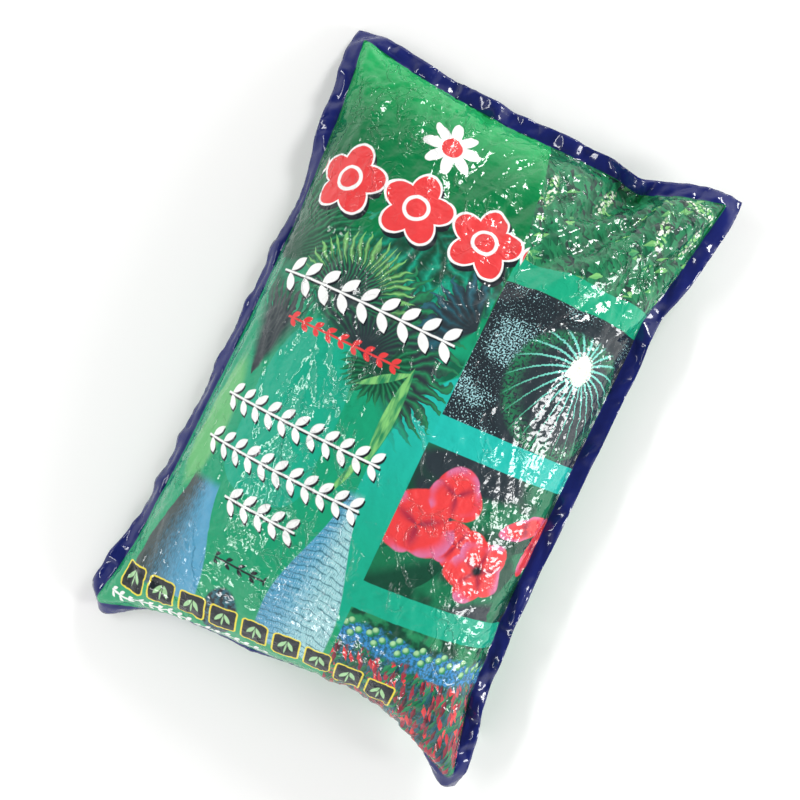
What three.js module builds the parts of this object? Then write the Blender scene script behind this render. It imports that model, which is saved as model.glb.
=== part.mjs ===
// A filled compost bag: one pouch of plastic film, sealed on all four sides and lying on its back.
// Millimetres, +Z up, the bag's head end towards +Y, the origin on the floor under its middle.

import * as THREE from 'three';

// The empty pouch, laid flat.
const FILM_WIDTH = 300;
const FILM_LENGTH = 450;
const SEAL_WIDTH = 12.5;

// The filled pouch: how far the bulge draws the film in at the corners, at the waist and lengthwise,
// and how deep the hollows of its ends are.
const CORNER_DRAW = 16;
const WAIST_DRAW = 40;
const LENGTH_DRAW = 18;
const HEAD_HOLLOW = 8;
const FOOT_HOLLOW = 5;
const FULL_HEIGHT = 87;
const SEAL_THICKNESS = 0.6;

// The fill slumps towards the foot: the upper film swells out over the foot seal, which turns down.
const FOOT_SWELL = 60;
const FOOT_SEAL_REACH = 7;
const FOOT_SEAL_DROP = 10;

// Where the pouch is fullest along its length, as a share of it counted from the foot.
const FULLEST_AT = 0.42;

// Heights of the seal above the floor.
const SIDE_SEAL_HEIGHT = 29;
const END_SEAL_HEIGHT = 23;
const CORNER_DROP = 9;

// Puckers that run along the seal: how far they move its edge and lift it, and the waves they add up.
const PUCKER_INWARD = 1.6;
const PUCKER_LIFT = 1.8;
const PUCKER_WAVES = [
  { share: 0.6, turns: 13, shift: 1 },
  { share: 0.4, turns: 29, shift: 2.3 },
];

// Arches of the film: a higher `flat` keeps the middle flatter, a lower `steep` makes the sides steeper.
const HEAD_ARCH = { flat: 1.9, steep: 0.75 };
const FOOT_ARCH = { flat: 2.4, steep: 0.7 };
const SIDE_ARCH = { flat: 2.3, steep: 0.62 };

// The underside: how evenly it drops from the seals, and how much of it the floor presses flat.
const BELLY = { across: 3, along: 5, steep: 0.7, pressed: 1.3 };

// How closely the effects of the long sides and of the ends keep to them.
const NEAR_SIDE = 6;
const NEAR_END = 4;

// Grid of the film: cells between the seals, and cells across each seal.
const BODY_CELLS_ACROSS = 26;
const BODY_CELLS_ALONG = 40;
const SEAL_CELLS = 2;

const FILM_GREEN = 0x2aa35c;

/**
 * Splits a grid coordinate of -1 to 1 into its side, its place between the seals, and its place on the
 * seal. The body's cells follow a sine, so that they are close together where the film turns over.
 */
function placeOnFilm(grid, bodyCells) {
  const bodyShare = bodyCells / (bodyCells + 2 * SEAL_CELLS);
  const reach = Math.abs(grid);
  const turn = Math.min(reach / bodyShare, 1) * Math.PI / 2;
  return {
    side: Math.sign(grid),
    turn,
    body: Math.sin(turn),
    seal: Math.max(0, (reach - bodyShare) / (1 - bodyShare)),
  };
}

/** Gentle uneven waves along a seal, of about -1 to 1. */
function pucker(along, phase) {
  return PUCKER_WAVES.reduce(
    (sum, { share, turns, shift }) => sum + share * Math.sin(turns * along + shift * phase),
    0,
  );
}

/** Height of an arch, 1 in its middle and 0 at its end, at a reach of 0 to 1 from its middle. */
function archAt(reach, { flat, steep }) {
  return (1 - reach ** flat) ** steep;
}

/** Half the width between the outer edges of the long seals, `along` the bag from foot -1 to head 1. */
function halfWidth(along) {
  const bow = 1 - Math.abs(along) ** 3;
  return (FILM_WIDTH - CORNER_DRAW - (WAIST_DRAW - CORNER_DRAW) * bow) / 2;
}

/** Distance from the middle to the outer edge of an end seal, `across` the bag from -1 to 1. */
function halfLength(across, isHead) {
  const hollow = isHead ? HEAD_HOLLOW : FOOT_HOLLOW;
  return (FILM_LENGTH - LENGTH_DRAW) / 2 - hollow * (1 - across * across);
}

/** Height of the film's crest at a share of the way from the foot seal, 0, to the head seal, 1. */
function crestHeight(share) {
  const towardsHead = share > FULLEST_AT;
  const reach = towardsHead ? (share - FULLEST_AT) / (1 - FULLEST_AT) : (FULLEST_AT - share) / FULLEST_AT;
  const rise = archAt(reach, towardsHead ? HEAD_ARCH : FOOT_ARCH);
  return END_SEAL_HEIGHT + (FULL_HEIGHT - END_SEAL_HEIGHT) * rise;
}

/** Where a point of the film lies on the filled bag; `top` is true for the upper film. */
function filmPoint(gridX, gridY, top) {
  const across = placeOnFilm(gridX, BODY_CELLS_ACROSS);
  const along = placeOnFilm(gridY, BODY_CELLS_ALONG);
  const isHead = along.side > 0;

  const shareX = across.side * across.body;
  const shareY = along.side * along.body;
  const puckerX = PUCKER_INWARD * pucker(shareY, 0.7 + across.side) * (1 - along.seal);
  const puckerY = PUCKER_INWARD * pucker(shareX, 2.1 + along.side) * (1 - across.seal);
  const bodyHalfWidth = halfWidth(shareY) - SEAL_WIDTH - puckerX;
  const bodyHalfLength = halfLength(shareX, isHead) - SEAL_WIDTH - puckerY;
  const nearSide = across.body ** NEAR_SIDE;
  const sealReach = isHead ? SEAL_WIDTH : FOOT_SEAL_REACH + (SEAL_WIDTH - FOOT_SEAL_REACH) * nearSide;
  const swells = top && !isHead;
  const swell = swells ? FOOT_SWELL * (1 - nearSide) * along.body ** 2 * Math.cos(along.turn) : 0;
  const x = across.side * (bodyHalfWidth * across.body + SEAL_WIDTH * across.seal);
  const y = along.side * (bodyHalfLength * along.body + swell + sealReach * along.seal);

  const nearEnd = along.body ** NEAR_END;
  const nearCorner = nearEnd * nearSide;
  const drop = isHead ? 0 : FOOT_SEAL_DROP * (1 - nearSide) * along.seal;
  const lift = PUCKER_LIFT * (pucker(2 * shareY, 1.3) * across.seal + pucker(2 * shareX, 0.4) * along.seal);
  const sealHeight = SIDE_SEAL_HEIGHT + (END_SEAL_HEIGHT - SIDE_SEAL_HEIGHT) * nearEnd
    - CORNER_DROP * nearCorner - drop + lift / 2;

  if (top) {
    const crest = crestHeight((shareY + 1) / 2);
    const arch = archAt(across.body, SIDE_ARCH);
    return [x, y, sealHeight + SEAL_THICKNESS / 2 + Math.max(0, crest - sealHeight) * arch];
  }
  const belly = ((1 - across.body ** BELLY.across) * (1 - along.body ** BELLY.along)) ** BELLY.steep;
  const pressed = Math.min(1, BELLY.pressed * belly);
  return [x, y, (sealHeight - SEAL_THICKNESS / 2) * (1 - pressed)];
}

/** The closed pouch: a slab whose two faces are drawn out to the upper and lower film. */
function pouchGeometry() {
  const cellsX = BODY_CELLS_ACROSS + 2 * SEAL_CELLS;
  const cellsY = BODY_CELLS_ALONG + 2 * SEAL_CELLS;
  const geometry = new THREE.BoxGeometry(2, 2, 2, cellsX, cellsY, 1);
  const position = geometry.attributes.position;
  for (let i = 0; i < position.count; i += 1) {
    const [x, y, z] = filmPoint(position.getX(i), position.getY(i), position.getZ(i) > 0);
    position.setXYZ(i, x, y, z);
  }
  geometry.computeVertexNormals();
  return geometry;
}

const bag = new THREE.Mesh(
  pouchGeometry(),
  new THREE.MeshStandardMaterial({ color: FILM_GREEN, roughness: 0.25, metalness: 0 }),
);
bag.name = 'compost_bag';

const compostBag = new THREE.Group();
compostBag.add(bag);

export default compostBag;
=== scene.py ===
"""A filled compost bag: a four-side-sealed pillow pouch of glossy printed film, lying on its back.

The empty pouch is a flat grid of film. A small cloth solver of the script's own fills it with potting
mix and lays it down, and the print is drawn by nodes in the flat film's own millimetres.
"""

import math

import bmesh
import bpy
import numpy as np
from bpy.props import FloatProperty, FloatVectorProperty, IntProperty, PointerProperty
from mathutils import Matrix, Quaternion, Vector


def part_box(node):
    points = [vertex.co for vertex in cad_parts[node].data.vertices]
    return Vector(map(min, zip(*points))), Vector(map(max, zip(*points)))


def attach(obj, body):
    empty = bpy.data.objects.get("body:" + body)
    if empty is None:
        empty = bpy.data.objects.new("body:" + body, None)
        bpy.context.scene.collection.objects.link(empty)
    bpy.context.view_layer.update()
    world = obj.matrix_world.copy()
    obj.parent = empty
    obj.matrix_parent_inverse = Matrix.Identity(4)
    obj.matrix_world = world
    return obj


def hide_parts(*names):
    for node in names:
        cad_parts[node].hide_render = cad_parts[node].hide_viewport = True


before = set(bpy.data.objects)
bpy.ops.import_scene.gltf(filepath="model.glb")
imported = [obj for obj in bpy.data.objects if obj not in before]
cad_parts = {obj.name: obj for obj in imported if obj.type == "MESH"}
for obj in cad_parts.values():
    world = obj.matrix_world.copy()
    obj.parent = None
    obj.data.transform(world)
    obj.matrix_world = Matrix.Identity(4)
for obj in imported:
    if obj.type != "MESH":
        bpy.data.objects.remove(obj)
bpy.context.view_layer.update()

bl_info = {
    "name": "Compost bag",
    "version": (1, 0, 0),
    "blender": (4, 5, 0),
    "location": "3D View > Sidebar > Compost bag",
    "description": "Makes a filled pouch of printed film, lying on its back",
    "category": "Object",
}

NODE = "compost_bag"
FILM_MAP = "film"
BAKE_MAP = "OFBake"

MATH = "ShaderNodeMath"
VECTOR = "ShaderNodeVectorMath"
RANGE = "ShaderNodeMapRange"
MAPPING = "ShaderNodeMapping"
VORONOI = "ShaderNodeTexVoronoi"
NOISE = "ShaderNodeTexNoise"
SPLIT = "ShaderNodeSeparateXYZ"
JOIN = "ShaderNodeCombineXYZ"
# Settings that a kind of node has throughout. A smooth range stays within its ends unclamped.
USUAL = {RANGE: {"interpolation_type": "SMOOTHSTEP", "clamp": False}}


def linear(code):
    """The linear colour, with alpha, of an sRGB hex code such as #2E9F5A."""
    channels = [int(code[i:i + 2], 16) / 255 for i in (1, 3, 5)]
    return (*(c / 12.92 if c <= 0.04045 else ((c + 0.055) / 1.055) ** 2.4 for c in channels), 1.0)


# ---------------------------------------------------------------------------------------- settings

PRINT_COLOURS = {
    "margin": "#1D2560",
    "margin_light": "#1B256E",
    "green_head": "#28B264",
    "green_upper": "#0C7A44",
    "green_middle": "#1C9C72",
    "green_foot": "#269F6D",
    "band_mint": "#1FA87F",
    "band_turquoise": "#26BAAC",
    "band_jade": "#1FA888",
    "charcoal": "#2F393F",
    "dark_leaf": "#1B4A38",
    "leaf": "#2C8A5C",
    "lit_leaf": "#86CC78",
    "blossom_white": "#F0F6E4",
    "cactus_rib": "#7FDACB",
    "cactus_heart": "#E4EFC2",
    "coral": "#E84446",
    "coral_shade": "#A83045",
    "petal_lilac": "#D4739C",
    "panel_green": "#1F7550",
    "sky_blue": "#3E8FCC",
    "bulb_green": "#A9D8A0",
    "trunk_blue": "#5BA3C6",
    "trunk_brown": "#465150",
    "trunk_pale": "#A4D6DA",
    "trunk_line": "#2F6674",
    "ink": "#20262C",
    "white": "#F7F8F6",
    "yellow": "#F4E14A",
}


class PouchSizes(bpy.types.PropertyGroup):
    """Sizes of the empty pouch and of its filling."""

    film_width: FloatProperty(
        name="Film width", description="Width of the empty pouch, laid flat",
        default=0.300, unit="LENGTH")
    film_length: FloatProperty(
        name="Film length", description="Length of the empty pouch, laid flat",
        default=0.450, unit="LENGTH")
    seal_width: FloatProperty(
        name="Seal width", description="Width of the welded edge",
        default=0.01125, unit="LENGTH")
    film_thickness: FloatProperty(
        name="Film thickness", description="Thickness of one layer of film",
        default=0.00012, unit="LENGTH")
    fill_foot: FloatProperty(
        name="Fill at the foot", description="Height that the potting mix presses up to near the foot",
        default=0.112, unit="LENGTH")
    fill_head: FloatProperty(
        name="Fill at the head", description="Height that the potting mix presses up to at the head",
        default=0.045, unit="LENGTH")
    cells_across: IntProperty(
        name="Cells across", description="Cells of film across the pouch at the coarsest level",
        default=20)


class PrintColours(bpy.types.PropertyGroup):
    """Inks of the print."""

    __annotations__ = {
        name: FloatVectorProperty(
            name=name.replace("_", " ").capitalize(), description="Ink of the print",
            subtype="COLOR", size=4, default=linear(code))
        for name, code in PRINT_COLOURS.items()
    }


class StudioSettings(bpy.types.PropertyGroup):
    """Camera and lights."""

    azimuth: FloatProperty(
        name="Azimuth", description="Direction of the camera from the bag, from +X towards +Y",
        default=math.radians(-62.8), unit="ROTATION")
    elevation: FloatProperty(
        name="Elevation", description="Height of the camera above the horizon",
        default=math.radians(89.5), unit="ROTATION")
    roll: FloatProperty(
        name="Roll", description="Turn of the camera about its own axis",
        default=math.radians(-1.6), unit="ROTATION")
    distance: FloatProperty(
        name="Distance", description="From the camera to the bag", default=0.77, unit="LENGTH")
    lens: FloatProperty(
        name="Lens", description="Focal length in millimetres", default=51.8)
    rim_glow: FloatProperty(
        name="Rim glow", description="Brightness of the room near the horizon", default=1.1)
    roof_glow: FloatProperty(
        name="Roof glow", description="Brightness of the room overhead", default=0.07)


# ------------------------------------------------------------------------------- filling the pouch

def flat_film(sizes, across, along):
    """The flat film's x and y at every crossing of the grid."""
    xs = np.linspace(-sizes.film_width / 2, sizes.film_width / 2, across + 1)
    ys = np.linspace(-sizes.film_length / 2, sizes.film_length / 2, along + 1)
    return np.meshgrid(xs, ys)


def inset(x, y, sizes):
    """How far each place of the flat film is inside its edge."""
    return np.minimum(sizes.film_width / 2 - np.abs(x), sizes.film_length / 2 - np.abs(y))


def ramp(value, low, high):
    """Rises smoothly from 0 at low to 1 at high."""
    share = np.clip((value - low) / (high - low), 0, 1)
    return share * share * (3 - 2 * share)


SHEAR = 0.6  # strength of the film against shearing, as a share of that against stretching
SEAL_BENDING = 0.3  # stiffness of the welded edge in bending


def pairs_apart(count, step, start):
    """Slices for both ends of the pairs that lie step apart, taking every second pair from start."""
    pairs = len(range(start, count - step, 2 * step))
    last = (pairs - 1) * 2 * step + 1
    return slice(start, start + last, 2 * step), slice(start + step, start + step + last, 2 * step)


def film_springs(along, across, cell):
    """Pairs of crossings that the film holds apart: (one end, other end, distance, kind)."""
    every = slice(None)
    springs = []
    for start in (0, 1):
        a, b = pairs_apart(across + 1, 1, start)
        springs.append(((..., every, a), (..., every, b), cell, "stretch"))
        a, b = pairs_apart(along + 1, 1, start)
        springs.append(((..., a, every), (..., b, every), cell, "stretch"))
    left, right, diagonal = slice(0, across), slice(1, across + 1), cell * math.sqrt(2)
    for start in (0, 1):
        a, b = pairs_apart(along + 1, 1, start)
        springs.append(((..., a, left), (..., b, right), diagonal, "shear"))
        springs.append(((..., a, right), (..., b, left), diagonal, "shear"))
    for start in range(4):
        a, b = pairs_apart(across + 1, 2, start)
        springs.append(((..., every, a), (..., every, b), 2 * cell, "bend"))
        a, b = pairs_apart(along + 1, 2, start)
        springs.append(((..., a, every), (..., b, every), 2 * cell, "bend"))
    return springs


def pull(film, one, other, rest, if_long, if_short):
    """Moves both ends of the pairs so that they come back towards their distance."""
    a, b = film[one], film[other]
    gap = b - a
    length = np.sqrt(gap[0] * gap[0] + gap[1] * gap[1] + gap[2] * gap[2]) + np.float32(1e-9)
    stretch = length - rest
    gap *= np.where(stretch > 0, if_long, if_short) * (np.float32(0.5) * stretch / length)
    film[one] = a + gap
    film[other] = b - gap


def outward_areas(film):
    """Area vectors of the film's cells, pointing out of the pouch."""
    u = film[..., 1:, 1:] - film[..., :-1, :-1]
    v = film[..., 1:, :-1] - film[..., :-1, 1:]
    area = np.stack([
        u[1] * v[2] - u[2] * v[1], u[2] * v[0] - u[0] * v[2], u[0] * v[1] - u[1] * v[0],
    ]) * np.float32(0.5)
    area[:, 1] *= -1
    return area


def slack(x, y, sizes):
    """How much longer than the taut film each part of the front and the back is, as a share."""
    across = x / sizes.film_width + 0.5
    down = 0.5 - y / sizes.film_length
    handled = 0.004 + 0.012 * ramp(0.32 - down, 0, 0.25)
    handled += 0.010 * np.exp(-((across - 0.32) / 0.2) ** 2 - ((down - 0.6) / 0.18) ** 2)
    return np.stack([handled, 0.001 + 0.3 * handled])


def seal_loads(x, y, seal, sizes):
    """Downward and headward pulls on the seal: it hangs by the left side and is tucked at the foot."""
    half_width, half_length = sizes.film_width / 2, sizes.film_length / 2
    foot = seal & (y < -half_length + sizes.seal_width + 1e-6) & (np.abs(x) < half_width - 0.03)
    tuck = 0.5 * foot * (0.75 + 0.25 * ramp(x, -0.09, 0.03))
    left = seal & (x < 0) & (y > 0.05 - half_length) & (y < half_length - 0.09)
    hang = 0.35 * left * ramp(y, 0.03 - half_length, 0.08 - half_length)
    hang *= ramp(half_length - y, 0.05, 0.13)
    ears = seal & (np.abs(x) > half_width - 0.03) & (y < 0.03 - half_length)
    return (0.5 * foot + hang + 0.15 * ears).astype(np.float32), tuck.astype(np.float32)


def tuned_springs(film, x, y, cell, seal, level, sizes):
    """The film's springs with their lengths and their strength when too long and when too short."""
    bending = np.broadcast_to(np.where(seal, SEAL_BENDING, level["bend"]), film.shape[1:])
    loose = np.broadcast_to(slack(x, y, sizes) * level["slack"], film.shape[1:])
    springs = []
    for one, other, rest, kind in film_springs(film.shape[2] - 1, film.shape[3] - 1, cell):
        length = (rest * (1 + 0.5 * (loose[one] + loose[other]))).astype(np.float32)
        if_long = {"stretch": 1.0, "shear": SHEAR, "bend": 0.0}[kind]
        if kind == "bend":
            if_short = bending[one].astype(np.float32)
        else:
            if_short = if_long * level["press"]
        springs.append((one, other, length, np.float32(if_long), if_short))
    return springs


def relax(film, cell, level, sizes):
    """Lets the filled film settle: the mix presses out, the film holds its length, the floor carries it."""
    x, y = flat_film(sizes, film.shape[3] - 1, film.shape[2] - 1)
    edge = inset(x, y, sizes)
    coarse = cell > sizes.seal_width / 2
    seal = edge < (max(sizes.seal_width, cell) if coarse else sizes.seal_width) + 1e-6
    springs = tuned_springs(film, x, y, cell, seal, level, sizes)
    fill = sizes.fill_foot + (sizes.fill_head - sizes.fill_foot) * ramp(
        y, -0.1 * sizes.film_length, 0.5 * sizes.film_length)
    fill = fill.astype(np.float32)
    hang, tuck = seal_loads(x, y, seal, sizes)
    share = np.float32(0.25 / cell ** 2) * (~seal)
    firmness, least_press = 10, np.float32(0.05)
    film_weight, least_gap = np.float32(0.03), np.float32(0.0003)
    damping, floor_grip = np.float32(0.985), np.float32(0.5)
    speed = np.zeros_like(film)
    corners = (slice(0, -1), slice(1, None))
    for _ in range(level["steps"]):
        area = outward_areas(film)
        load = np.zeros_like(film)
        for rows in corners:
            for columns in corners:
                load[..., rows, columns] += area
        depth = fill - film[2]
        load *= (np.clip(depth * firmness, 0, None) + least_press * (depth > 0)) * share
        load[2] -= film_weight + hang
        load[1] += tuck
        speed = (speed + load * np.float32(level["push"])) * damping
        before = film.copy()
        film += speed
        for spring in springs:
            pull(film, *spring)
        middle = np.float32(0.5) * (film[:, 0] + film[:, 1])
        film[:, :, seal] = middle[:, None, seal]
        gap = film[2, 0] - film[2, 1]
        lift = np.where((gap < least_gap) & ~seal, (least_gap - gap) / 2, 0).astype(np.float32)
        film[2, 0] += lift
        film[2, 1] -= lift
        grip = np.where(film[2] < 0, floor_grip, np.float32(1))
        film[:2] = before[:2] + (film[:2] - before[:2]) * grip
        np.maximum(film[2], 0, out=film[2])
        speed = film - before
    return film


def refine(film):
    """The same film on a grid of twice as many cells each way."""
    for axis in (2, 3):
        rows = np.moveaxis(film, axis, 0)
        fine = np.empty((2 * rows.shape[0] - 1, *rows.shape[1:]), rows.dtype)
        fine[::2] = rows
        ends = np.concatenate([2 * rows[:1] - rows[1:2], rows, 2 * rows[-1:] - rows[-2:-1]])
        fine[1::2] = (9 * (ends[1:-2] + ends[2:-1]) - ends[:-3] - ends[3:]) / 16
        film = np.moveaxis(fine, 0, axis)
    return np.ascontiguousarray(film)


def zigzag(value):
    """A triangle wave of period 1 between -1 and 1."""
    return np.abs(value % 1 * 2 - 1) * 2 - 1


FOLD_BEND = 0.35  # how far a fold shifts the next one, in fold lengths
FINER, FLATTER = 1.7, 0.62  # how much finer and how much flatter each round of folds is


def crumple(x, y, size, rounds, seed):
    """Height of a crumpled sheet, about -1 to 1: folds in random directions, each bending the next."""
    random = np.random.default_rng(seed)
    x, y, height, strength, total = x / size, y / size, 0, 1, 0
    for _ in range(rounds):
        for _ in range(3):
            turn, phase = random.uniform(0, math.pi), random.uniform(0, 1)
            fold = zigzag(x * math.cos(turn) + y * math.sin(turn) + phase)
            height = height + strength * fold
            total += strength
            x = x - FOLD_BEND * fold * math.sin(turn)
            y = y + FOLD_BEND * fold * math.cos(turn)
        x, y, strength = x * FINER, y * FINER, strength * FLATTER
    return height / total * 2


# Level by level: steps, push of the mix in a step, stiffness of the film in bending and in being
# pressed together, share of the slack that is let out, and height of the crumples put in.
LEVELS = (
    {"steps": 1400, "push": 3e-5, "bend": 0.02, "press": 0.02, "slack": 0, "crumple": 0},
    {"steps": 800, "push": 1e-5, "bend": 0.02, "press": 0.8, "slack": 1, "crumple": 0},
    {"steps": 400, "push": 4e-6, "bend": 0.04, "press": 0.8, "slack": 1, "crumple": 0.0008},
    {"steps": 120, "push": 1.5e-6, "bend": 0.06, "press": 0.8, "slack": 1, "crumple": 0.0008},
)


def fill_pouch(sizes):
    """Fills the flat pouch and lays it down. Gives points as [axis, front or back, row, column]."""
    random = np.random.default_rng(1)
    across = sizes.cells_across
    cell = sizes.film_width / across
    along = round(sizes.film_length / cell)
    x, y = flat_film(sizes, across, along)
    edge = inset(x, y, sizes)
    swell = 0.012 * ramp(edge, sizes.seal_width, sizes.seal_width + 0.06)
    rest_height = 0.02
    film = np.stack([
        np.stack([x, x]), np.stack([y, y]), np.stack([rest_height + swell, rest_height - swell]),
    ]).astype(np.float32)
    film[2] += random.normal(0, 0.0012, x.shape).astype(np.float32)
    for number, level in enumerate(LEVELS):
        if number:
            film = refine(film)
            cell, across, along = cell / 2, across * 2, along * 2
        if level["crumple"]:
            x, y = flat_film(sizes, across, along)
            for side, share in ((0, 1.0), (1, 0.3)):
                folds = crumple(x, y, size=0.05, rounds=3, seed=12 + number + 10 * side)
                film[2, side] += (share * level["crumple"] * folds).astype(np.float32)
        film = relax(film, cell, level, sizes)
    return film


def grid_normals(sheet):
    """Unit normals, upwards on a flat sheet, at every crossing of one side's grid."""
    u = np.gradient(sheet, axis=2)
    v = np.gradient(sheet, axis=1)
    normal = np.cross(u, v, axis=0)
    return normal / (np.linalg.norm(normal, axis=0) + 1e-12)


# Long creases of the front: x and y of both ends and height, in millimetres.
CREASES = (
    (79, 74, 44, 1, 0.9), (44, 1, 36, -22, 0.7), (-76, 34, -42, -28, 1.5), (-66, 34, -22, -34, 1.5),
    (-44, 38, -17, -40, 1.5), (-3, 34, 6, -8, 0.8), (3, 30, 12, -10, 0.8), (-128, 196, -96, 172, 0.9),
    (-104, 214, -84, 186, 0.8), (-46, 212, -40, 182, 0.9), (-30, 152, 22, 146, 1.0),
    (38, -18, 62, -66, 0.8), (18, -92, 52, -120, 0.8), (66, -100, 118, -116, 0.9),
    (96, -128, 132, -96, 0.8), (-60, -20, -28, -96, 0.6), (-112, 12, -96, -60, 0.7),
    (104, 30, 138, 62, 0.8), (-92, 128, -58, 152, 0.7), (84, 200, 96, 178, 0.9),
)
CREASE_HALF_WIDTH = 0.0026


def long_creases(x, y):
    """Height of the long creases, each a narrow ridge that wavers a little."""
    height = 0 * x
    waver = 0.0022 * crumple(x, y, size=0.022, rounds=3, seed=71)
    for x0, y0, x1, y1, tall in CREASES:
        run = np.array([x1 - x0, y1 - y0]) / 1000
        length = np.hypot(*run)
        along = ((x - x0 / 1000) * run[0] + (y - y0 / 1000) * run[1]) / length
        off = ((x - x0 / 1000) * run[1] - (y - y0 / 1000) * run[0]) / length + waver
        ends = ramp(along, 0, 0.2 * length) * ramp(length - along, 0, 0.2 * length)
        height = np.maximum(height, tall / 1000 * ends * ramp(np.abs(off), CREASE_HALF_WIDTH, 0))
    return height


def corner_folds(x, y, sizes):
    """Folds that run out of the four corners like rays, where the film is gathered."""
    height = 0 * x
    for corner_x, corner_y, folds, seed in ((-1, 1, 9, 1), (1, 1, 8, 2), (-1, -1, 9, 3), (1, -1, 9, 4)):
        run_x = corner_x * (0.53 * sizes.film_width) - x
        run_y = corner_y * (0.52 * sizes.film_length) - y
        sway = 0.15 * crumple(x, y, size=0.08, rounds=2, seed=60 + seed)
        angle = np.arctan2(np.abs(run_y), np.abs(run_x)) + sway
        away = np.hypot(run_x, run_y)
        reach = ramp(away, 0.02, 0.05) * ramp(away, 0.13, 0.07)
        height = height + reach * zigzag(angle * folds / math.tau * 2 + 0.3 * seed)
    return height


def finish_film(film, sizes):
    """Adds what the solver leaves out: lumps of mix, sharp creases and the film's thickness."""
    film = film.astype(float)
    x, y = flat_film(sizes, film.shape[3] - 1, film.shape[2] - 1)
    edge = inset(x, y, sizes)
    body = 0.45 + 0.55 * ramp(edge, sizes.seal_width, sizes.seal_width + 0.02)
    seal_waves = 0.0017 * crumple(x, y, size=0.045, rounds=1, seed=51)
    film[2] += seal_waves * ramp(edge, 1.6 * sizes.seal_width, 0.004)
    for side, outward in ((0, 1), (1, -1)):
        normal = grid_normals(film[:, side]) * outward
        facets = crumple(x, y, size=0.085, rounds=3, seed=41 + side)
        folds = 0.0012 * (1 + ramp(y, 0.10, 0.18)) * facets
        folds += 0.0006 * crumple(x, y, size=0.030, rounds=4, seed=31 + side)
        if side == 0:
            folds += 0.0015 * corner_folds(x, y, sizes) + long_creases(x, y)
        film[:, side] += normal * (folds * body + sizes.film_thickness)
    np.maximum(film[2], 0, out=film[2])
    return film


# --------------------------------------------------------------------------------- the pouch's mesh

BACK = 4  # the back's material, after those of the front's quarters
# Where the quarters meet, on the flat film in metres. Each is on a line of the grid.
COLUMN_JOINT = 0.02625
LEFT_ROW_JOINT, RIGHT_ROW_JOINT = 0.08625, -0.005625


def quarter(place):
    """Number of the quarter of the front that a place of the flat film is in."""
    right = place.x > COLUMN_JOINT
    return right + 2 * (place.y < (RIGHT_ROW_JOINT if right else LEFT_ROW_JOINT))


def empty_pouch(sizes, across, along):
    """A flat closed pouch: one grid of film for the back, pulled up into the front."""
    shell = bmesh.new()
    bmesh.ops.create_grid(shell, x_segments=across, y_segments=along, size=0.5)
    bmesh.ops.scale(shell, vec=(sizes.film_width, sizes.film_length, 1), verts=shell.verts)
    pulled = bmesh.ops.extrude_face_region(shell, geom=shell.faces[:], use_keep_orig=True)
    front = [part for part in pulled["geom"] if isinstance(part, bmesh.types.BMVert)]
    bmesh.ops.translate(shell, vec=(0, 0, sizes.film_thickness), verts=front)
    bmesh.ops.recalc_face_normals(shell, faces=shell.faces[:])
    for face in shell.faces:
        face.smooth = True
        face.material_index = BACK if face.normal.z < -0.5 else quarter(face.calc_center_median())
    mesh = bpy.data.meshes.new("film_pouch")
    shell.to_mesh(mesh)
    shell.free()
    return mesh


def write_maps(mesh, flat, sizes):
    """The film map holds the flat film in metres. The bake map lays front and back side by side."""
    corners = np.empty(len(mesh.loops), dtype=np.int32)
    mesh.loops.foreach_get("vertex_index", corners)
    place = flat[corners, :2]
    parts = np.empty(len(mesh.polygons), dtype=np.int32)
    mesh.polygons.foreach_get("material_index", parts)
    sides = np.empty(len(mesh.polygons), dtype=np.int32)
    mesh.polygons.foreach_get("loop_total", sides)
    on_back = np.repeat(parts == BACK, sides)
    film_map = mesh.uv_layers.new(name=FILM_MAP)
    film_map.data.foreach_set("uv", place.astype(np.float32).ravel())

    margin = 0.01
    share = place / (sizes.film_width, sizes.film_length) + 0.5
    share[:, 0] = margin + share[:, 0] * (0.5 - 2 * margin) + 0.5 * on_back
    share[:, 1] = margin + share[:, 1] * (1 - 2 * margin)
    bake_map = mesh.uv_layers.new(name=BAKE_MAP)
    bake_map.data.foreach_set("uv", share.astype(np.float32).ravel())
    mesh.uv_layers.active = film_map


class MakePouch(bpy.types.Operator):
    """Makes the filled pouch of film"""

    bl_idname = "compost_bag.make_pouch"
    bl_label = "Make the filled pouch"

    def execute(self, context):
        sizes = context.scene.compost_bag_sizes
        film = finish_film(fill_pouch(sizes), sizes)
        along, across = film.shape[2] - 1, film.shape[3] - 1
        mesh = empty_pouch(sizes, across, along)
        flat = np.empty(len(mesh.vertices) * 3)
        mesh.vertices.foreach_get("co", flat)
        flat = flat.reshape(-1, 3)
        column = np.rint((flat[:, 0] / sizes.film_width + 0.5) * across).astype(int)
        row = np.rint((flat[:, 1] / sizes.film_length + 0.5) * along).astype(int)
        is_front = flat[:, 2] > sizes.film_thickness / 2
        write_maps(mesh, flat, sizes)
        filled = film[:, np.where(is_front, 0, 1), row, column].T
        box_low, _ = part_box(NODE)
        filled[:, 2] += box_low.z
        mesh.vertices.foreach_set("co", filled.ravel())
        mesh.update()
        pouch = bpy.data.objects.new("film_pouch", mesh)
        context.scene.collection.objects.link(pouch)
        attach(pouch, "root")
        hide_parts(NODE)
        return {"FINISHED"}


# -------------------------------------------------------------------------------------- the print

def add_node(tree, kind, *inputs, output=0, **settings):
    """Adds a node with its settings, sets or links its inputs, and gives one of its outputs.

    An input is a value, a socket, or a pair of an input's name or number and its value or socket.
    """
    node = tree.nodes.new(kind)
    for name, value in {**USUAL.get(kind, {}), **settings}.items():
        setattr(node, name, value)
    for number, value in enumerate(inputs):
        key = number
        if isinstance(value, tuple) and len(value) == 2 and isinstance(value[0], (str, int)):
            key, value = value
        if isinstance(value, bpy.types.NodeSocket):
            tree.links.new(value, node.inputs[key])
        elif value is not None:
            node.inputs[key].default_value = value
    return node.outputs[output] if node.outputs else None


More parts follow.
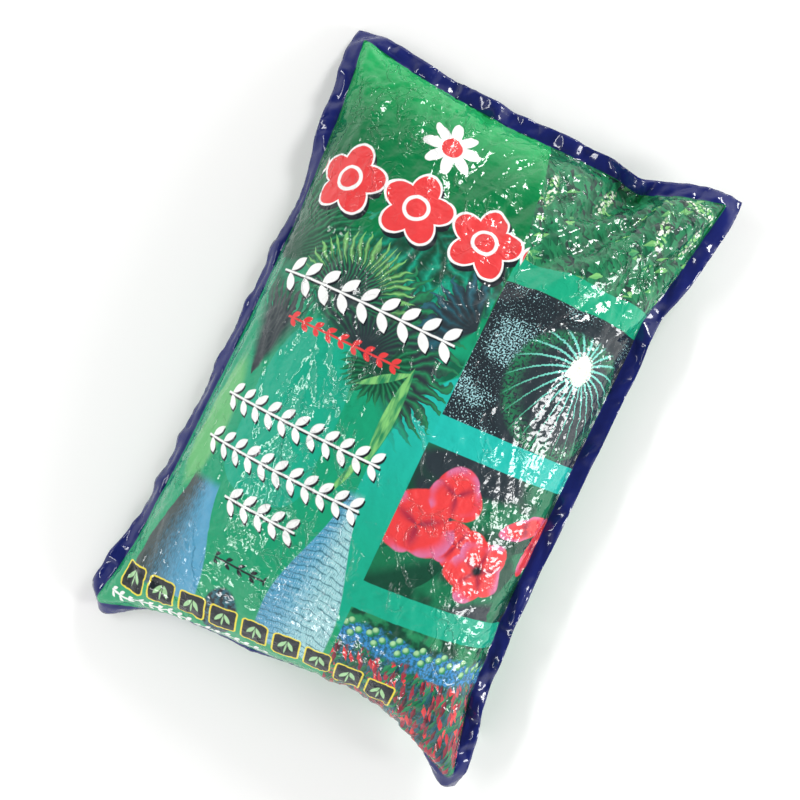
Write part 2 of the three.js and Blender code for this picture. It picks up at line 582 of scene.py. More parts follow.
class Paper:
    """The film as paper to print on: places are in millimetres from its middle, +y to the head."""

    edge = 0.35  # millimetres over which an ink's edge fades

    def __init__(self, tree, inks):
        self.tree = tree
        self.inks = inks
        film = self.add("ShaderNodeUVMap", uv_map=FILM_MAP)
        self.spot = self.add(VECTOR, film, ("Scale", 1000.0), operation="SCALE")
        self.x, self.y = self.split(self.spot)
        self.colour = self.add("ShaderNodeRGB")
        self.colour.default_value = self.ink("green_middle")

    def add(self, kind, *inputs, **settings):
        """Adds a node to the paper's own tree."""
        return add_node(self.tree, kind, *inputs, **settings)

    def split(self, vector):
        """The x and y of a place."""
        parts = self.add(SPLIT, vector).node.outputs
        return parts[0], parts[1]

    def at(self, x, y, wide=1.0, high=1.0, turn=0.0, spot=None):
        """Places about a centre, turned, in units of the given width and height."""
        return self.add(
            MAPPING, spot or self.spot, (x, y, 0), (0, 0, math.radians(turn)), (wide, high, 1),
            vector_type="TEXTURE")

    def within(self, distance, limit=1.0, fade=0.02):
        """1 where a distance is under its limit, and 0 past it."""
        return self.add(RANGE, distance, limit + fade, limit - fade, 0.0, 1.0)

    def oval(self, x, y, wide, high, turn=0.0, spot=None, fade=None):
        """A filled ellipse of the given half width and half height."""
        near = self.add(VECTOR, self.at(x, y, wide, high, turn, spot), operation="LENGTH", output=1)
        return self.within(near, 1.0, fade or self.edge / min(wide, high))

    def box_distance(self, x, y, wide, high, round_off=1.0, turn=0.0, spot=None):
        """Distance outside a box of the given half sizes, counted from its rounded-off core."""
        corner = self.add(VECTOR, self.at(x, y, 1, 1, turn, spot), operation="ABSOLUTE")
        past = self.add(VECTOR, corner, (wide - round_off, high - round_off, 1), operation="SUBTRACT")
        past = self.add(VECTOR, past, (0, 0, 0), operation="MAXIMUM")
        return self.add(VECTOR, past, operation="LENGTH", output=1)

    def box(self, x, y, wide, high, round_off=1.0, turn=0.0, spot=None):
        """A filled box of the given half sizes, with rounded corners."""
        distance = self.box_distance(x, y, wide, high, round_off, turn, spot)
        return self.within(distance, round_off, self.edge)

    def leaf(self, x, y, long, wide, turn=0.0, spot=None):
        """A pointed leaf: where two equal circles overlap. Sizes are half sizes."""
        radius = (long * long + wide * wide) / (2 * wide)
        fold = self.add(VECTOR, self.at(x, y, 1, 1, turn, spot), operation="ABSOLUTE")
        fold = self.add(VECTOR, fold, (0, radius - wide, 0), operation="ADD")
        return self.within(self.add(VECTOR, fold, operation="LENGTH", output=1), radius, self.edge)

    def polar(self, x, y, turn=0.0, spot=None, high=1.0):
        """Angle and distance about a centre."""
        local = self.at(x, y, 1, high, turn, spot)
        u, v = self.split(local)
        angle = self.add(MATH, v, u, operation="ARCTAN2")
        return angle, self.add(VECTOR, local, operation="LENGTH", output=1)

    def both(self, *masks):
        """Where all masks are."""
        joined = masks[0]
        for mask in masks[1:]:
            joined = self.add(MATH, joined, mask, operation="MULTIPLY")
        return joined

    def either(self, *masks):
        """Where any of the masks is."""
        joined = masks[0]
        for mask in masks[1:]:
            joined = self.add(MATH, joined, mask, operation="MAXIMUM")
        return joined

    def ink(self, colour):
        """The colour of a named ink. A socket or a colour is passed on as it is."""
        return tuple(getattr(self.inks, colour)) if isinstance(colour, str) else colour

    def blend(self, share, low, high):
        """From one ink to another by a share."""
        return self.add(
            "ShaderNodeMix", (0, share), (6, self.ink(low)), (7, self.ink(high)),
            data_type="RGBA", output=2)

    def print(self, mask, colour):
        """Prints an ink over what is there."""
        self.colour = self.blend(mask, self.colour, colour)

    def mottle(self, scale, detail=2.0, spot=None):
        """Soft mottling with spots of about 1 / scale millimetres."""
        return self.add(
            NOISE, spot or self.spot, ("Scale", scale), ("Detail", detail), noise_dimensions="2D")

    def repeated(self, x, pitch):
        """Distance along x from the nearest of a row of places, of which one is at x."""
        off = self.add(MATH, self.x, x, operation="SUBTRACT")
        return self.add(MATH, off, -pitch / 2, pitch / 2, operation="WRAP")

    def petals(self, angle, count):
        """1 along the middle of each petal of a flower, and 0 between them."""
        wave = self.add(MATH, self.add(MATH, angle, count / 2, operation="MULTIPLY"), operation="COSINE")
        return self.add(MATH, wave, operation="ABSOLUTE")


def print_ground(paper):
    """Green ground: bright at the head, deeper under it, jade in the middle, with plain jade shapes."""
    add = paper.add
    low = paper.blend(add(RANGE, paper.y, -200.0, -60.0), "green_foot", "green_middle")
    high = paper.blend(add(RANGE, paper.y, 148.0, 214.0), "green_upper", "green_head")
    paper.colour = paper.blend(add(RANGE, paper.y, 40.0, 100.0), low, high)
    shade = paper.both(add(RANGE, paper.x, -50.0, -135.0), add(RANGE, paper.y, 172.0, 120.0), 0.6)
    paper.print(paper.both(shade, add(RANGE, paper.y, 20.0, 70.0)), "dark_leaf")
    arch = paper.either(paper.oval(-58, -30, 30, 58), paper.box(-58, -60, 29, 34, 20))
    paper.print(arch, "band_jade")
    strip = paper.either(paper.oval(40, -58, 40, 92), paper.box(20, -75, 14, 51, 1))
    paper.print(strip, paper.blend(add(RANGE, paper.y, -110.0, 30.0), "band_jade", "band_turquoise"))
    paper.print(paper.both(paper.oval(-108, -62, 12, 44, fade=0.2), 0.55), "lit_leaf")


def print_ground_only(paper):
    """The back's plain green."""
    paper.colour = paper.blend(paper.add(RANGE, paper.y, -210.0, 206.0), "green_foot", "green_upper")


def print_fan(paper, x, y, reach, blades, middle, spread, dark, lit, squash=1.0):
    """A fan of palm blades: stripes round a centre, longer where a stripe is lit."""
    add = paper.add
    angle, distance = paper.polar(x, y, middle, high=squash)
    wander = paper.mottle(0.045, 3.0)
    turns = add(MATH, wander, 2.6, add(MATH, angle, blades / math.tau, operation="MULTIPLY"),
                operation="MULTIPLY_ADD")
    stripe = add(MATH, turns, 0.5, operation="PINGPONG")
    stripe = add(MATH, stripe, 2.0, operation="MULTIPLY")
    ends = add(MATH, stripe, 0.34 * reach, 0.72 * reach, operation="MULTIPLY_ADD")
    mask = paper.within(add(MATH, distance, ends, operation="SUBTRACT"), 0.0, 1.2)
    side = add(MATH, angle, operation="ABSOLUTE")
    mask = paper.both(mask, paper.within(side, math.radians(spread), 0.2))
    tip = add(RANGE, distance, 0.05 * reach, 0.75 * reach)
    paper.print(mask, paper.blend(paper.both(stripe, stripe, tip), dark, lit))


def print_palms(paper):
    """Left side: dark and lit palm fans over a dark thicket."""
    thicket = paper.both(paper.box(-45, 52, 72, 34, 20), paper.add(RANGE, paper.mottle(0.03), 0.3, 0.55))
    paper.print(paper.both(thicket, 0.8), "dark_leaf")
    print_fan(paper, -122, 52, 66, 62, 76, 70, "dark_leaf", "leaf")
    print_fan(paper, 4, 122, 62, 30, -96, 62, "dark_leaf", "band_jade", squash=1.3)
    print_fan(paper, -34, 112, 52, 22, -84, 40, "dark_leaf", "band_jade", squash=1.5)
    print_fan(paper, -34, 16, 62, 44, 60, 100, "charcoal", "leaf")
    print_fan(paper, 24, 60, 36, 22, 165, 70, "charcoal", "trunk_line")
    print_fan(paper, -58, 42, 44, 46, 86, 78, "dark_leaf", "lit_leaf", squash=0.92)
    print_fan(paper, -60, 40, 34, 54, 86, 84, "charcoal", "leaf")
    print_fan(paper, -96, -26, 64, 70, 92, 22, "charcoal", "trunk_brown")
    print_fan(paper, -20, 14, 24, 30, -60, 120, "dark_leaf", "leaf")


def print_trunk(paper, x, foot, top, neck, belly, left, right, rings=0.0, lean=0.0):
    """A bottle-shaped trunk between two heights, with shading across it and rings round it."""
    add = paper.add
    middle = add(MATH, paper.y, lean, x - lean * foot, operation="MULTIPLY_ADD")
    across = add(MATH, paper.x, middle, operation="SUBTRACT")
    half = add(RANGE, paper.y, top, foot + 0.25 * (top - foot), neck, belly)
    share = add(MATH, across, half, operation="DIVIDE")
    side = add(MATH, share, operation="ABSOLUTE")
    mask = paper.both(
        paper.within(side, 1.0, 0.03), add(RANGE, paper.y, foot - 1, foot + 1),
        add(RANGE, paper.y, top + 4, top - 4))
    grain = paper.mottle(1.2, 3.0, spot=paper.at(0, 0, 0.7, 4.5))
    tone = add(MATH, grain, 1.3, share, operation="MULTIPLY_ADD")
    paper.print(mask, paper.blend(add(RANGE, tone, -0.2, 1.3), left, right))
    if rings:
        sag = add(MATH, side, side, operation="MULTIPLY")
        wander = add(MATH, paper.mottle(0.12), 5.0, paper.y, operation="MULTIPLY_ADD")
        level = add(MATH, sag, 2.5, wander, operation="MULTIPLY_ADD")
        level = add(MATH, level, rings / 2, operation="PINGPONG")
        breaks = add(RANGE, paper.mottle(0.3, spot=paper.at(0, 0, 2.5, 1)), 0.34, 0.5)
        paper.print(paper.both(mask, paper.within(level, 0.45, 0.45), breaks, 0.8), "trunk_line")
        glow = paper.both(mask, add(RANGE, level, 0.4 * rings, 0.5 * rings), add(RANGE, grain, 0.45, 0.7))
        paper.print(paper.both(glow, 0.6), "white")
        paper.print(paper.both(mask, add(RANGE, grain, 0.46, 0.36), 0.5), "trunk_line")


def print_trunks(paper):
    """Left side: bottle trunks, a dark shrub and a curved stem."""
    add = paper.add
    for x, y, long, wide, turn in ((-14, 8, 18, 2.6, 35), (-1, -12, 34, 4.2, 88), (-8, -50, 26, 2.2, 70)):
        stem = paper.leaf(x, y, long, wide, turn)
        tone = add(RANGE, paper.mottle(0.25, 2.0, spot=paper.at(0, 0, 1, 5)), 0.35, 0.65)
        paper.print(stem, paper.blend(tone, "leaf", "lit_leaf"))
    print_trunk(paper, -92, -178, -98, 11, 24, "trunk_brown", "trunk_blue")
    print_trunk(paper, -2, -182, -64, 5, 24, "trunk_blue", "trunk_pale", rings=5.4, lean=0.03)
    shrub = paper.oval(-50, -176, 12, 21, fade=0.08)
    speckle = add(RANGE, paper.mottle(0.35, 3.0), 0.4, 0.6)
    paper.print(shrub, paper.blend(speckle, "ink", "trunk_line"))


def scattered_leaves(paper, mask, spacing, turn, stretch, inks, seed, keep=0.6):
    """Pointed leaves scattered on a slanting lattice, each in its own tone, with a pale midrib side."""
    add = paper.add
    spot = paper.at(seed * 37.0, seed * 91.0, spacing * stretch, spacing, turn)
    cells = add(VORONOI, spot, ("Scale", 1.0), ("Randomness", 0.9), voronoi_dimensions="2D",
                distance="MANHATTAN").node.outputs
    shades = add("ShaderNodeSeparateColor", cells[1]).node.outputs
    tone, pick = shades[0], shades[1]
    shape = paper.within(cells[0], 0.56, 0.05)
    chosen = paper.within(pick, keep, 0.01)
    centre = add(VECTOR, spot, cells[2], operation="SUBTRACT")
    along, side = paper.split(centre)
    rib = add(RANGE, side, -0.05, 0.05)
    shade = add(MATH, rib, 0.3, tone, operation="MULTIPLY_ADD")
    paper.print(paper.both(mask, shape, chosen), paper.blend(shade, *inks))


def print_foliage(paper):
    """Charcoal panel of leaves with spikes of small white flowers."""
    add = paper.add
    mask = panel(paper, 118, 300, lean=0.2)
    paper.print(mask, paper.blend(paper.mottle(0.03, 4.0), "charcoal", "dark_leaf"))
    for seed, (turn, spacing) in enumerate(((25, 8), (150, 7), (80, 6), (-20, 6), (115, 4.5))):
        scattered_leaves(paper, mask, spacing, turn, 2.3, ("dark_leaf", "leaf"), seed + 1)
    scattered_leaves(paper, mask, 4.0, 35, 2.6, ("leaf", "lit_leaf"), 8, keep=0.15)
    scattered_leaves(paper, mask, 3.6, 140, 2.6, ("dark_leaf", "leaf"), 9, keep=0.4)
    dots = add(VORONOI, paper.spot, ("Scale", 0.42), voronoi_dimensions="2D").node.outputs
    speck = paper.within(dots[0], 0.42, 0.08)
    spikes = paper.either(*(
        paper.oval(x, y, 3.6, 13, turn, fade=0.25)
        for x, y, turn in ((24, 172, 8), (60, 192, -10), (106, 172, 4), (131, 178, -6), (125, 203, 70))))
    tip = paper.blend(add(RANGE, paper.mottle(0.2), 0.45, 0.55), "lit_leaf", "blossom_white")
    paper.print(paper.both(mask, spikes, speck), tip)


def print_cactus(paper):
    """Charcoal panel with a globe cactus seen from above one side: spiny ribs out of a pale heart."""
    add = paper.add
    mask = panel(paper, 4, 99.5)
    paper.print(mask, paper.blend(paper.mottle(0.05, 4.0), "charcoal", "ink"))
    grit = paper.mottle(0.9, 4.0)
    patch = add(RANGE, paper.mottle(0.03, 3.0), 0.40, 0.62, 0.0, 0.14)
    left = add(RANGE, paper.x, 88.0, 44.0, -0.1, 0.0)
    specks = add(MATH, add(MATH, grit, patch, operation="ADD"), left, operation="ADD")
    paper.print(paper.both(mask, add(RANGE, specks, 0.64, 0.70)), "trunk_pale")
    paper.print(paper.both(mask, paper.oval(96, 44, 45, 50, fade=0.05)), "charcoal")
    angle, distance = paper.polar(97, 67, -90)
    bend = add(MATH, add(MATH, angle, operation="SINE"), distance, operation="MULTIPLY")
    rib_angle = add(MATH, bend, 0.009, angle, operation="MULTIPLY_ADD")
    turns = add(MATH, rib_angle, 25 / math.tau, operation="MULTIPLY")
    off_rib = add(MATH, turns, 0.5, operation="PINGPONG")
    width = add(MATH, off_rib, distance, operation="MULTIPLY")
    hairs = paper.mottle(0.9, 2.0)
    width = add(MATH, hairs, -7.0, add(MATH, width, 3.5, operation="ADD"), operation="MULTIPLY_ADD")
    half = add(RANGE, distance, 6.0, 46.0, 2.8, 1.9)
    rib = paper.within(add(MATH, width, half, operation="SUBTRACT"), 0.0, 0.45)
    reach = add(MATH, add(MATH, angle, operation="COSINE"), 21.0, 41.0, operation="MULTIPLY_ADD")
    globe = paper.within(add(MATH, distance, reach, operation="SUBTRACT"), 0.0, 3.0)
    rim = add(RANGE, add(MATH, distance, reach, operation="SUBTRACT"), -16.0, -2.0)
    paper.print(paper.both(mask, globe, rim, add(RANGE, paper.mottle(0.5), 0.42, 0.5), 0.7), "leaf")
    tone = paper.blend(add(RANGE, distance, 14.0, 66.0), "cactus_rib", "leaf")
    paper.print(paper.both(mask, globe, rib), tone)
    heart = add(RANGE, distance, 15.0, 2.5)
    fuzz = add(MATH, hairs, 1.1, heart, operation="MULTIPLY_ADD")
    paper.print(paper.both(mask, add(RANGE, fuzz, 0.78, 1.2)), "blossom_white")
    paper.print(paper.both(mask, add(RANGE, distance, 8.0, 1.0), 0.75), "cactus_heart")


def print_blossom(paper, mask, x, y, size, petals, turn, seed, flat=1.0, eye=0.0):
    """A coral blossom of broad petals, darker between them, with lilac edges."""
    add = paper.add
    angle, distance = paper.polar(x, y, turn, high=flat)
    wave = paper.petals(angle, petals)
    lobes = add(MATH, wave, 0.24 * size, 0.68 * size, operation="MULTIPLY_ADD")
    wobble = add(MATH, paper.mottle(0.05, 1.0, spot=paper.at(seed * 50, 0)), 0.35 * size, lobes,
                 operation="MULTIPLY_ADD")
    share = add(MATH, distance, wobble, operation="DIVIDE")
    shade = add(MATH, wave, 0.6, add(MATH, share, 0.6, operation="MULTIPLY"), operation="MULTIPLY_ADD")
    tone = paper.blend(add(RANGE, shade, 0.2, 0.75), "coral_shade", "coral")
    edge = paper.both(add(RANGE, share, 0.6, 1.0), add(RANGE, paper.mottle(0.05, 1.0), 0.45, 0.6))
    tone = paper.blend(edge, tone, "petal_lilac")
    flower = paper.both(mask, paper.within(share, 1.0, 0.035))
    paper.print(flower, tone)
    if eye:
        paper.print(paper.both(flower, add(RANGE, share, 1.6 * eye, 0.5 * eye)), "ink")


def print_red_flowers(paper):
    """Green panel with broad leaves, dark corners and coral blossoms."""
    mask = panel(paper, -109, -15)
    soft = paper.mottle(0.035, 2.0)
    paper.print(mask, paper.blend(paper.add(RANGE, soft, 0.4, 0.6), "dark_leaf", "panel_green"))
    for x, y, wide, high, turn in ((62, -22, 40, 13, 4), (52, -54, 30, 8, -40), (112, -108, 38, 14, 10)):
        paper.print(paper.both(mask, paper.oval(x, y, wide, high, turn, fade=0.25)), "charcoal")
    for x, y, long, wide, turn in ((104, -46, 38, 14, 12), (44, -92, 30, 15, 35), (128, -88, 26, 12, 75)):
        leaf = paper.both(mask, paper.leaf(x, y, long, wide, turn))
        u, v = paper.split(paper.at(x, y, long, wide, turn))
        shade = paper.add(RANGE, v, -0.3, 0.4)
        paper.print(leaf, paper.blend(shade, "dark_leaf", "panel_green"))
    for seed, (x, y, size, petals, turn, flat, eye) in enumerate((
            (133, -50, 20, 2, 80, 0.5, 0), (114, -40, 19, 2, 28, 0.42, 0), (70, -66, 17, 4, 30, 0.8, 0),
            (42, -64, 20, 3, 95, 1.2, 0), (57, -38, 17, 3, 100, 1.0, 0), (91, -76, 21, 5, 50, 0.95, 0.16))):
        print_blossom(paper, mask, x, y, size, petals, turn, seed, flat, eye)


def print_meadow(paper):
    """Meadow panel: dark hedge, blue flowers with pale ball heads, and pointed red and green leaves."""
    add = paper.add
    mask = panel(paper, -300, -127)
    paper.print(mask, paper.blend(add(RANGE, paper.mottle(0.08, 3.0), 0.4, 0.6), "dark_leaf", "leaf"))
    haze = paper.mottle(0.09, 4.0)
    top = add(MATH, haze, 22.0, paper.y, operation="MULTIPLY_ADD")
    blue = paper.both(mask, add(RANGE, top, -122.0, -126.0))
    flecks = add(RANGE, paper.mottle(0.5, 3.0), 0.35, 0.65)
    paper.print(blue, paper.blend(flecks, "trunk_line", "sky_blue"))
    low = paper.both(mask, add(RANGE, top, -137.0, -143.0))
    paper.print(low, paper.blend(flecks, "dark_leaf", "trunk_line"))
    for seed, (turn, inks) in enumerate((
            (78, ("dark_leaf", "leaf")), (104, ("dark_leaf", "coral_shade")),
            (88, ("ink", "trunk_line")), (118, ("coral_shade", "coral")), (66, ("dark_leaf", "leaf")),
            (97, ("ink", "coral_shade")))):
        scattered_leaves(paper, low, 3.0, turn, 3.4, inks, seed + 20, keep=0.42)
    row = add(MATH, paper.x, -8.0, 8.0, operation="WRAP")
    balls = add(JOIN, row, paper.y)
    for x, y in ((-4, -138), (1, -143), (5, -139), (-1, -135)):
        ball = paper.both(mask, paper.oval(x, y, 2.4, 2.4, spot=balls))
        light = paper.oval(x - 0.7, y + 0.7, 1.7, 1.7, spot=balls, fade=0.6)
        paper.print(ball, paper.blend(light, "leaf", "bulb_green"))


def panel(paper, bottom, top, lean=0.0):
    """The right column between two heights, which rise a little to the right."""
    add = paper.add
    level = add(MATH, paper.x, -0.045, paper.y, operation="MULTIPLY_ADD")
    over = add(RANGE, level, bottom - 1.2 - paper.edge, bottom - 1.2 + paper.edge)
    under = add(RANGE, level, top - 1.2 + paper.edge, top - 1.2 - paper.edge)
    slope = add(MATH, add(MATH, paper.y, 125.0, operation="SUBTRACT"), 0.0, operation="MAXIMUM")
    side = add(MATH, slope, lean, paper.x, operation="MULTIPLY_ADD")
    return paper.both(add(RANGE, side, 26.7, 27.3), over, under)


def print_bands(paper):
    """Right side: the plain bands between the picture panels."""
    for bottom, top, ink in (
            (99.5, 118, "band_mint"), (-15, 4, "band_turquoise"), (-127, -109, "band_jade")):
        paper.print(panel(paper, bottom, top), ink)


BLOSSOM_PITCH = 49.0  # millimetres between the heading's blossoms
TILE_PITCH = 22.4  # millimetres between the tiles along the foot


def blossom_row(paper, x, y, drop=0.0):
    """Distance outside the petals and from the hearts of a row of plain blossoms."""
    add = paper.add
    spot = add(JOIN, paper.repeated(x, BLOSSOM_PITCH), paper.y)
    angle, distance = paper.polar(drop, y - drop, 18, spot=spot)
    lobes = add(MATH, paper.petals(angle, 5), 8.5, 15.5, operation="MULTIPLY_ADD")
    return add(MATH, distance, lobes, operation="SUBTRACT"), distance


def print_heading(paper):
    """Three plain coral blossoms with white edges and dark shadows, and a small daisy above them."""
    row = paper.box(-46, 115, 76, 30, 2)
    shadow, _ = blossom_row(paper, -46, 115, drop=2.6)
    paper.print(paper.both(row, paper.within(shadow, 1.8, paper.edge)), "ink")
    shape, distance = blossom_row(paper, -46, 115)
    paper.print(paper.both(row, paper.within(shape, 1.8, paper.edge)), "white")
    paper.print(paper.both(row, paper.within(shape, 0.0, paper.edge)), "coral")
    ring = paper.both(row, paper.within(distance, 9.0, paper.edge))
    paper.print(ring, "white")
    paper.print(paper.both(row, paper.within(distance, 6.6, paper.edge)), "coral")
    angle, near = paper.polar(-46, 165, 10)
    reach = paper.add(MATH, paper.petals(angle, 8), 11.0, 9.0, operation="MULTIPLY_ADD")
    paper.print(paper.within(paper.add(MATH, near, reach, operation="SUBTRACT"), 0.0, 0.4), "white")
    paper.print(paper.within(near, 7.0, paper.edge), "coral")


def print_sprigs(paper, x, y, wide, high, pitch, long, leaf_wide, turn, colour, drop=1.2):
    """A garland of paired leaves along a level stem, with a dark shadow under it."""
    add = paper.add
    layers = ((drop, "ink"), (0.0, colour)) if drop else ((0.0, colour),)
    for offset, ink in layers:
        row = paper.box(x + offset, y - offset, wide, high, 1)
        fold = add(MATH, add(MATH, paper.y, y - offset, operation="SUBTRACT"), operation="ABSOLUTE")
        spot = add(JOIN, paper.repeated(x + offset, pitch), fold)
        reach = 0.525 * long
        sprig = paper.leaf(
            reach * math.cos(math.radians(turn)) - 1.5, reach * math.sin(math.radians(turn)) + 0.6,
            long / 2, leaf_wide / 2, turn, spot=spot)
        stem = paper.within(fold, 0.7, paper.edge)
        paper.print(paper.both(row, paper.either(sprig, stem)), ink)


def print_garlands(paper):
    """Plain leaf garlands where a pack carries its lines of words."""
    print_sprigs(paper, -48, 45, 63.9, 16, 14.2, 14, 6.4, 52, "white")
    print_sprigs(paper, -49, 18, 40.5, 5, 9, 6.5, 3.4, 40, "coral", drop=0.0)
    print_sprigs(paper, -50, -42, 57, 11, 10.36, 10.5, 4.8, 52, "white")
    print_sprigs(paper, -50, -72, 57, 11, 10.36, 10.5, 4.8, 52, "white")
    print_sprigs(paper, -49, -101, 25.9, 11, 10.36, 10.5, 4.8, 52, "white")
    print_sprigs(paper, -46, -138, 18, 4, 9, 6, 2.6, 40, "ink", drop=0.0)
    print_sprigs(paper, -70, -198, 58, 4, 7, 5, 2.4, 40, "white", drop=0.0)


def print_tiles(paper):
    """A row of plain dark tiles with yellow edges along the foot."""
    add = paper.add
    row = paper.box(-24, -178, 101, 15, 1)
    level = add(MATH, paper.x, 116.0, operation="ADD")
    level = add(MATH, level, -0.03, paper.y, operation="MULTIPLY_ADD")
    tile = add(JOIN, paper.repeated(-24, TILE_PITCH), level)
    far = paper.box_distance(0, -181, 8.2, 8.8, 1.5, 3, spot=tile)
    paper.print(paper.both(row, paper.within(far, 2.9, paper.edge)), "yellow")
    paper.print(paper.both(row, paper.within(far, 1.8, paper.edge)), "ink")
    mark = paper.either(
        paper.leaf(-2.8, -180, 4.6, 1.5, 60, spot=tile), paper.leaf(2.8, -180, 4.6, 1.5, 120, spot=tile),
        paper.leaf(0, -183, 5.0, 0.6, 90, spot=tile))
    paper.print(paper.both(row, mark), "bulb_green")


def print_margin(paper):
    """Navy margin over the welded edge, which is a little wider than the margin."""
    inner = paper.box(0, 0, 139, 214, 0.5)
    tone = paper.blend(paper.mottle(0.02, 2.0), "margin", "margin_light")
    paper.print(paper.add(MATH, 1.0, inner, operation="SUBTRACT"), tone)


def ridges(paper, spot, size, wide, height):
    """Height of a net of thin ridges of a spacing, a width and a height in millimetres."""
    off = paper.add(
        VORONOI, spot, ("Scale", 1 / size), voronoi_dimensions="2D", feature="DISTANCE_TO_EDGE")
    return paper.add(RANGE, off, 0.0, wide / size, height, 0.0)


def film_gloss(paper):
    """Clear-topped printed film: a hard bright gloss, broken up by fine crinkles where it was handled."""
    add = paper.add
    sway = paper.mottle(0.06, 3.0)
    patch = paper.mottle(0.03, 3.0, spot=paper.at(40, 90))
    spot = add(JOIN, add(MATH, sway, 13.0, paper.x, operation="MULTIPLY_ADD"),
               add(MATH, patch, 30.0, paper.y, operation="MULTIPLY_ADD"))
    slanted = add(MAPPING, spot, (0, 0, 0), (0, 0, math.radians(-62)), (3.6, 1, 1),
                  vector_type="TEXTURE")
    handled = paper.either(
        paper.oval(-100, 165, 46, 62, 30, fade=0.5), paper.oval(-30, -78, 34, 66, 14, fade=0.45),
        paper.oval(52, -52, 22, 40, -35, fade=0.5), add(RANGE, patch, 0.45, 0.65, 0.08, 0.5))
    net = add(MATH, ridges(paper, spot, 9.0, 1.3, 0.75), ridges(paper, spot, 4.5, 0.6, 0.14),
              operation="ADD")
    kept = paper.both(handled, add(RANGE, sway, 0.42, 0.6))
    net = add(MATH, net, kept, operation="MULTIPLY")
    long = paper.both(ridges(paper, slanted, 15.0, 1.4, 0.70), add(RANGE, patch, 0.52, 0.62))
    inner = paper.box(0, 0, 138, 213, 2)
    net = paper.both(add(MATH, net, long, operation="ADD"), inner)
    soft = add(MATH, paper.mottle(0.10, 2.0), add(RANGE, inner, 0.0, 1.0, 0.35, 1.2), operation="MULTIPLY")
    height = add(MATH, soft, net, operation="ADD")
    bump = add("ShaderNodeBump", ("Strength", 1.0), ("Distance", 0.001), ("Height", height))
    shader = add(
        "ShaderNodeBsdfPrincipled", ("Base Color", paper.colour), ("Roughness", 0.11), ("IOR", 1.5),
        ("Normal", bump))
    add("ShaderNodeOutputMaterial", ("Surface", shader))


# The print of each quarter of the front, in the order of their numbers, and of the back. One material
# for all of the front would be too big to render, so quarters meet where both print alike.
QUARTERS = {
    "head_left": (print_ground, print_palms, print_foliage, print_heading),
    "head_right": (print_ground, print_bands, print_foliage, print_cactus, print_heading),
    "foot_left": (print_ground, print_palms, print_trunks, print_garlands, print_tiles),
    "foot_right": (print_ground, print_bands, print_red_flowers, print_meadow, print_tiles),
    "back": (print_ground_only,),
}


def printed_film(name, prints, inks):
    """Polypropylene film printed under a clear layer. It reads as vivid ink under a hard gloss."""
    material = bpy.data.materials.new("printed_polypropylene_" + name)
    material.use_nodes = True
    material.node_tree.nodes.clear()
    paper = Paper(material.node_tree, inks)
    for draw in prints:
        draw(paper)
    print_margin(paper)
    film_gloss(paper)
    return material


class PrintFilm(bpy.types.Operator):
    """Prints the film of the pouch"""

    bl_idname = "compost_bag.print_film"
    bl_label = "Print the film"

    def execute(self, context):
        pouch = bpy.data.objects["film_pouch"]
        for name, prints in QUARTERS.items():
            inks = context.scene.compost_bag_colours
            pouch.data.materials.append(printed_film(name, prints, inks))
        return {"FINISHED"}


# -------------------------------------------------------------------------------------- the studio

def floor_finish():
    """Matt white paper sweep: even and pale, so that only the soft shadow shows."""
    material = bpy.data.materials.new("white_paper_sweep")
    material.use_nodes = True
    tree = material.node_tree
    tree.nodes.clear()
    place = add_node(tree, "ShaderNodeTexCoord", output=3)
    grain = add_node(tree, NOISE, place, ("Scale", 400.0), ("Detail", 2.0))
    bump = add_node(tree, "ShaderNodeBump", ("Strength", 0.05), ("Distance", 0.0002), ("Height", grain))
    shader = add_node(
        tree, "ShaderNodeBsdfPrincipled", ("Base Color", linear("#FBFBFA")), ("Roughness", 0.9),
        ("Normal", bump))
    add_node(tree, "ShaderNodeOutputMaterial", ("Surface", shader))
    return material


# Lights round the bag: name, place in metres, width and length, and power in watts.
LIGHTS = (
    ("key", (0.35, 1.35, 0.85), (0.4, 0.3), 11.5),
    ("right_strip", (1.4, 0.05, 0.6), (0.3, 0.6), 11),
    ("left_strip", (-1.0, -0.25, 1.2), (1.2, 0.11), 8.5),
    ("foot_strip", (-0.3, -1.3, 0.95), (0.7, 0.11), 5.5),
)


def softbox(scene, name, place, size, power):
    """A rectangular soft light that looks at the bag."""
    light = bpy.data.lights.new(name, "AREA")
    light.shape = "RECTANGLE"
    light.size, light.size_y = size
    light.energy = power
    lamp = bpy.data.objects.new(name, light)
    scene.collection.objects.link(lamp)
    lamp.location = place
    lamp.rotation_euler = (-Vector(place)).to_track_quat("-Z", "Y").to_euler()


def lay_floor(scene):
    """A wide flat sheet of paper under the bag."""
    sheet = bmesh.new()
    bmesh.ops.create_grid(sheet, x_segments=1, y_segments=1, size=4)
    mesh = bpy.data.meshes.new("floor")
    sheet.to_mesh(mesh)
    sheet.free()
    mesh.materials.append(floor_finish())
    floor = bpy.data.objects.new("floor", mesh)
    scene.collection.objects.link(floor)


def room_light(studio):
    """A white room that is bright near the horizon and dim overhead."""
    world = bpy.data.worlds.new("studio")
    world.use_nodes = True
    tree = world.node_tree
    sky = add_node(tree, "ShaderNodeTexCoord")
    height = add_node(tree, SPLIT, sky, output=2)
    glow = add_node(tree, RANGE, height, 0.2, 0.92, studio.rim_glow, studio.roof_glow)
    tree.nodes["Background"].inputs["Color"].default_value = (1, 1, 1, 1)
    tree.links.new(glow, tree.nodes["Background"].inputs["Strength"])
    return world


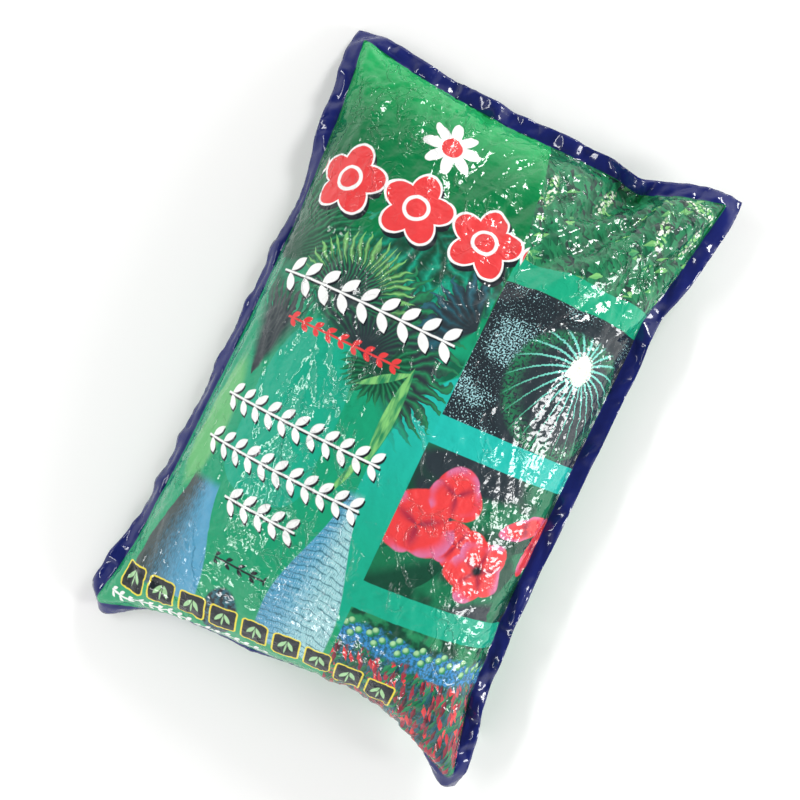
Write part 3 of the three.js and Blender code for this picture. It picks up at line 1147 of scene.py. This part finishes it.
def set_camera(scene, studio):
    """The camera looks down on the bag, which lies a little off the middle of the view."""
    towards = Vector((
        math.cos(studio.azimuth) * math.cos(studio.elevation),
        math.sin(studio.azimuth) * math.cos(studio.elevation), math.sin(studio.elevation)))
    camera = bpy.data.cameras.new("camera")
    camera.lens = studio.lens
    eye = bpy.data.objects.new("camera", camera)
    scene.collection.objects.link(eye)
    turn = (-towards).to_track_quat("-Z", "Y") @ Quaternion((0, 0, 1), studio.roll)
    middle, off_middle = Vector((0, 0, 0.03)), Vector((-0.0104, 0.0022, 0))
    eye.location = middle + turn @ off_middle + towards * studio.distance
    eye.rotation_euler = turn.to_euler()
    scene.camera = eye


class SetStudio(bpy.types.Operator):
    """Lays the floor and sets the lights and the camera"""

    bl_idname = "compost_bag.set_studio"
    bl_label = "Set the studio"

    def execute(self, context):
        scene = context.scene
        studio = scene.compost_bag_studio
        lay_floor(scene)
        for name, place, size, power in LIGHTS:
            softbox(scene, name, place, size, power)
        scene.world = room_light(studio)
        scene.view_settings.view_transform = "Standard"
        set_camera(scene, studio)
        return {"FINISHED"}


class CompostBagPanel(bpy.types.Panel):
    """Lists the steps that make the bag"""

    bl_idname = "VIEW3D_PT_compost_bag"
    bl_label = "Compost bag"
    bl_space_type = "VIEW_3D"
    bl_region_type = "UI"
    bl_category = "Compost bag"

    def draw(self, context):
        for step in STEPS:
            self.layout.operator(step.bl_idname)
        for settings in ("compost_bag_sizes", "compost_bag_colours", "compost_bag_studio"):
            group = getattr(context.scene, settings)
            for name in group.__annotations__:
                self.layout.prop(group, name)


STEPS = (MakePouch, PrintFilm, SetStudio)
SETTINGS = {
    "compost_bag_sizes": PouchSizes,
    "compost_bag_colours": PrintColours,
    "compost_bag_studio": StudioSettings,
}


def register():
    """Registers the settings, the steps and the panel"""
    for group in (*SETTINGS.values(), *STEPS, CompostBagPanel):
        bpy.utils.register_class(group)
    for name, group in SETTINGS.items():
        setattr(bpy.types.Scene, name, PointerProperty(type=group))


def unregister():
    """Takes out all that register put in"""
    for name in SETTINGS:
        delattr(bpy.types.Scene, name)
    for group in reversed((*SETTINGS.values(), *STEPS, CompostBagPanel)):
        bpy.utils.unregister_class(group)


def main():
    """Makes the bag and its studio"""
    register()
    bpy.ops.compost_bag.make_pouch()
    bpy.ops.compost_bag.print_film()
    bpy.ops.compost_bag.set_studio()


if __name__ == "__main__":
    main()
